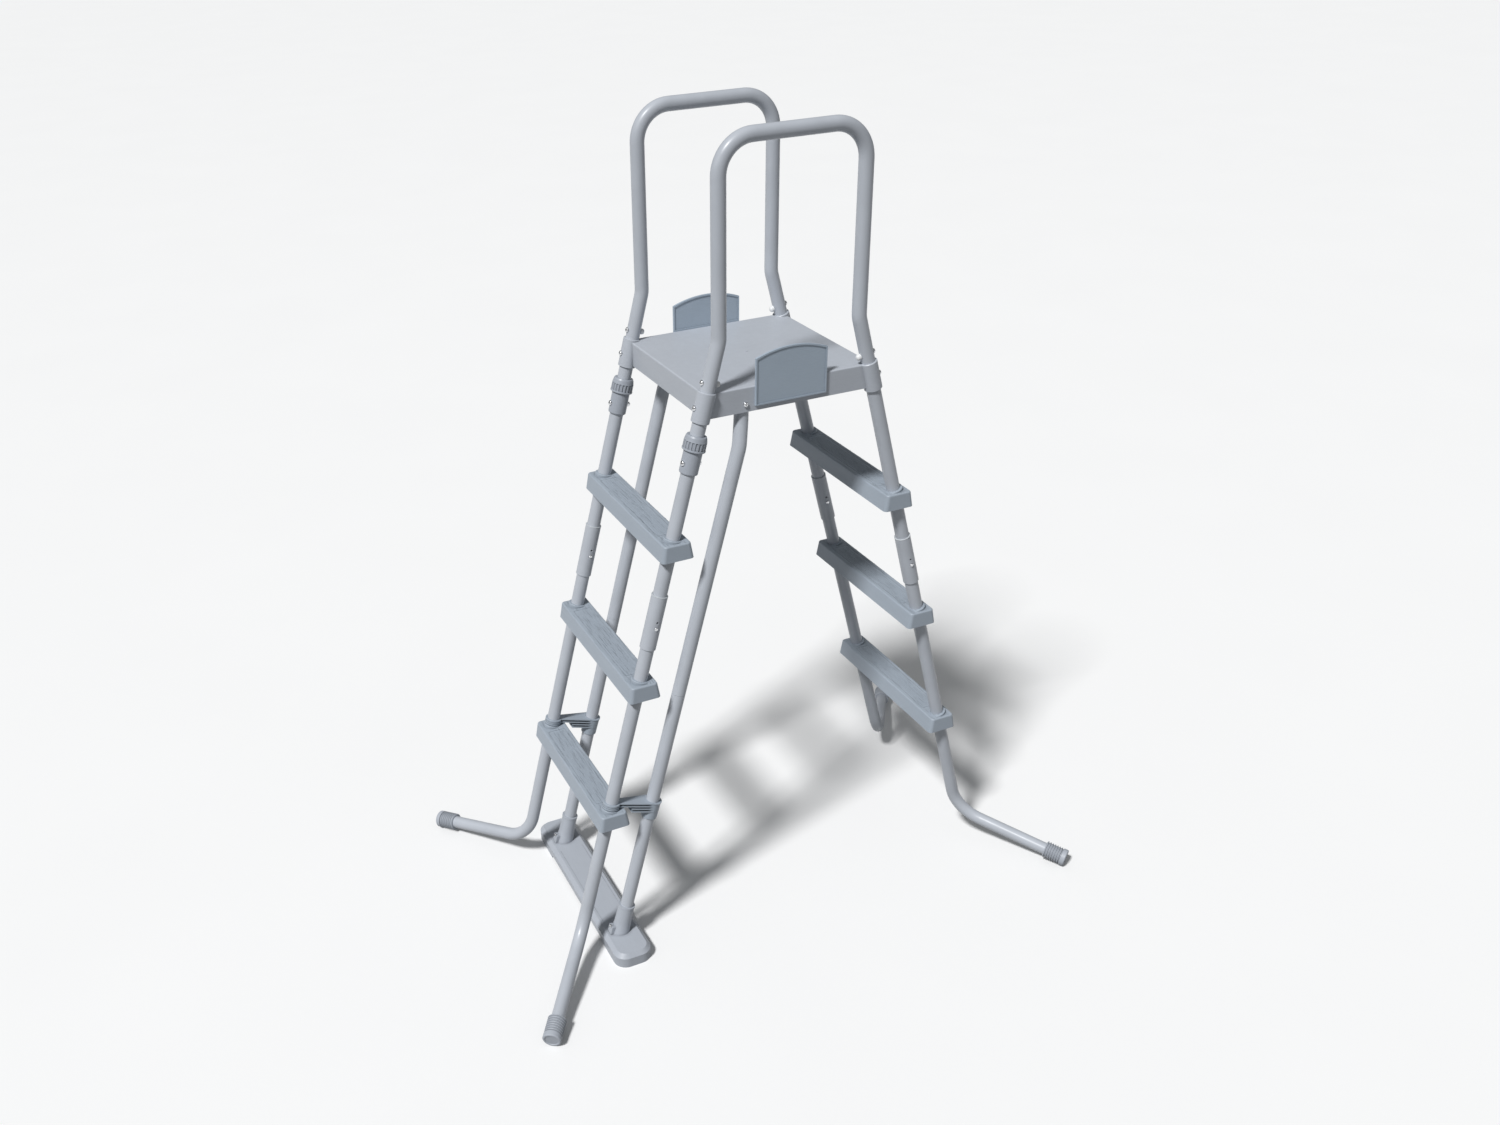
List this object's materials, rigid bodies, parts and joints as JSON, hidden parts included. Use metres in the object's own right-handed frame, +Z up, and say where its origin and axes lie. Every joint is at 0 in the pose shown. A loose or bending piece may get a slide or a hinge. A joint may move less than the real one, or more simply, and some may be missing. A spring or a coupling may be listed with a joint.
{
  "type": "pool ladder",
  "caption": "A-frame pool ladder of bent grey steel tube with moulded steps, a platform, hooped handrails, a lift-off entry side with screw collars and flared feet.",
  "frame": {"origin": "on the floor under the middle of the platform", "axes": "+Z up, X across the pool wall with the entry side at -X and the pool side at +X, Y along the treads"},
  "size_m": [1.3926, 0.8592, 1.8135],
  "materials": {
    "tube_paint": "satin light grey powder paint",
    "step_plastic": "fine-grained blue-grey moulded plastic",
    "union_plastic": "darker grey moulded plastic",
    "white_plastic": "white plastic",
    "zinc_steel": "bright zinc-plated steel",
    "spring_steel": "tempered strip"
  },
  "bodies": {
    "root": {"platform": "step_plastic", "base_bar": "step_plastic", "rail_bolts": "zinc_steel", "rail_cap_nuts": "white_plastic", "corner_screws": "zinc_steel", "support_screws": "zinc_steel", "base_screws": "zinc_steel", "inner_step_screws": "zinc_steel", "inner_button_springs": "spring_steel", "inner_coupler_rings": "white_plastic", "inner_step_1": "step_plastic", "inner_step_2": "step_plastic", "inner_step_3": "step_plastic", "handrail_near": "tube_paint", "side_plate_near": "step_plastic", "stub_tube_near": "tube_paint", "inner_upper_leg_near": "tube_paint", "inner_lower_leg_near": "tube_paint", "inner_foot_cap_near": "step_plastic", "inner_coupler_near": "tube_paint", "support_upper_near": "tube_paint", "support_lower_near": "tube_paint", "handrail_far": "tube_paint", "side_plate_far": "step_plastic", "stub_tube_far": "tube_paint", "inner_upper_leg_far": "tube_paint", "inner_lower_leg_far": "tube_paint", "inner_foot_cap_far": "step_plastic", "inner_coupler_far": "tube_paint", "support_upper_far": "tube_paint", "support_lower_far": "tube_paint"},
    "outer_ladder": {"union_bolts": "zinc_steel", "outer_step_screws": "zinc_steel", "outer_button_springs": "spring_steel", "outer_coupler_rings": "white_plastic", "outer_step_1": "step_plastic", "outer_step_2": "step_plastic", "outer_step_3": "step_plastic", "union_sleeve_near": "union_plastic", "outer_upper_leg_near": "tube_paint", "outer_lower_leg_near": "tube_paint", "outer_foot_cap_near": "step_plastic", "outer_coupler_near": "tube_paint", "clip_near": "step_plastic", "union_sleeve_far": "union_plastic", "outer_upper_leg_far": "tube_paint", "outer_lower_leg_far": "tube_paint", "outer_foot_cap_far": "step_plastic", "outer_coupler_far": "tube_paint", "clip_far": "step_plastic"},
    "collet_near_body": {"collet_near": "union_plastic"},
    "nut_near_body": {"ring_nut_near": "union_plastic"},
    "collet_far_body": {"collet_far": "union_plastic"},
    "nut_far_body": {"ring_nut_far": "union_plastic"},
    "outer_snap_near": {"outer_button_near": "zinc_steel"},
    "outer_snap_far": {"outer_button_far": "zinc_steel"},
    "inner_snap_near": {"inner_button_near": "zinc_steel"},
    "inner_snap_far": {"inner_button_far": "zinc_steel"}
  },
  "joints": [
    {"name": "outer_ladder_slide", "type": "slide", "parent": "root", "child": "outer_ladder", "axis": [0.2562, 0, 0.9666], "range_m": [0, 0.012]},
    {"name": "collet_near_rise", "type": "slide", "parent": "outer_ladder", "child": "collet_near_body", "axis": [0.2562, 0, 0.9666], "range_m": [0, 0.008]},
    {"name": "ring_nut_near_turn", "type": "hinge", "parent": "collet_near_body", "child": "nut_near_body", "pos_m": [-0.21268, -0.183, 1.208], "axis": [0.2562, 0, 0.9666], "range_deg": [0, 720]},
    {"name": "collet_far_rise", "type": "slide", "parent": "outer_ladder", "child": "collet_far_body", "axis": [0.2562, 0, 0.9666], "range_m": [0, 0.008]},
    {"name": "ring_nut_far_turn", "type": "hinge", "parent": "collet_far_body", "child": "nut_far_body", "pos_m": [-0.21268, 0.183, 1.208], "axis": [0.2562, 0, 0.9666], "range_deg": [0, 720]},
    {"name": "outer_button_near_press", "type": "slide", "parent": "outer_ladder", "child": "outer_snap_near", "axis": [0, 1, 0], "range_m": [0, 0.005], "stiffness_N_per_m": 2000, "springref_m": -0.001, "deforming": ["outer_button_springs"]},
    {"name": "outer_button_far_press", "type": "slide", "parent": "outer_ladder", "child": "outer_snap_far", "axis": [0, 1, 0], "range_m": [0, 0.005], "stiffness_N_per_m": 2000, "springref_m": -0.001, "deforming": ["outer_button_springs"]},
    {"name": "inner_button_near_press", "type": "slide", "parent": "root", "child": "inner_snap_near", "axis": [0, 1, 0], "range_m": [0, 0.005], "stiffness_N_per_m": 2000, "springref_m": -0.001, "deforming": ["inner_button_springs"]},
    {"name": "inner_button_far_press", "type": "slide", "parent": "root", "child": "inner_snap_far", "axis": [0, 1, 0], "range_m": [0, 0.005], "stiffness_N_per_m": 2000, "springref_m": -0.001, "deforming": ["inner_button_springs"]}
  ],
  "couplings": [
    {"joint": "collet_near_rise", "follows": "ring_nut_near_turn", "m_per_rad": 0.00063662},
    {"joint": "collet_far_rise", "follows": "ring_nut_far_turn", "m_per_rad": 0.00063662}
  ]
}
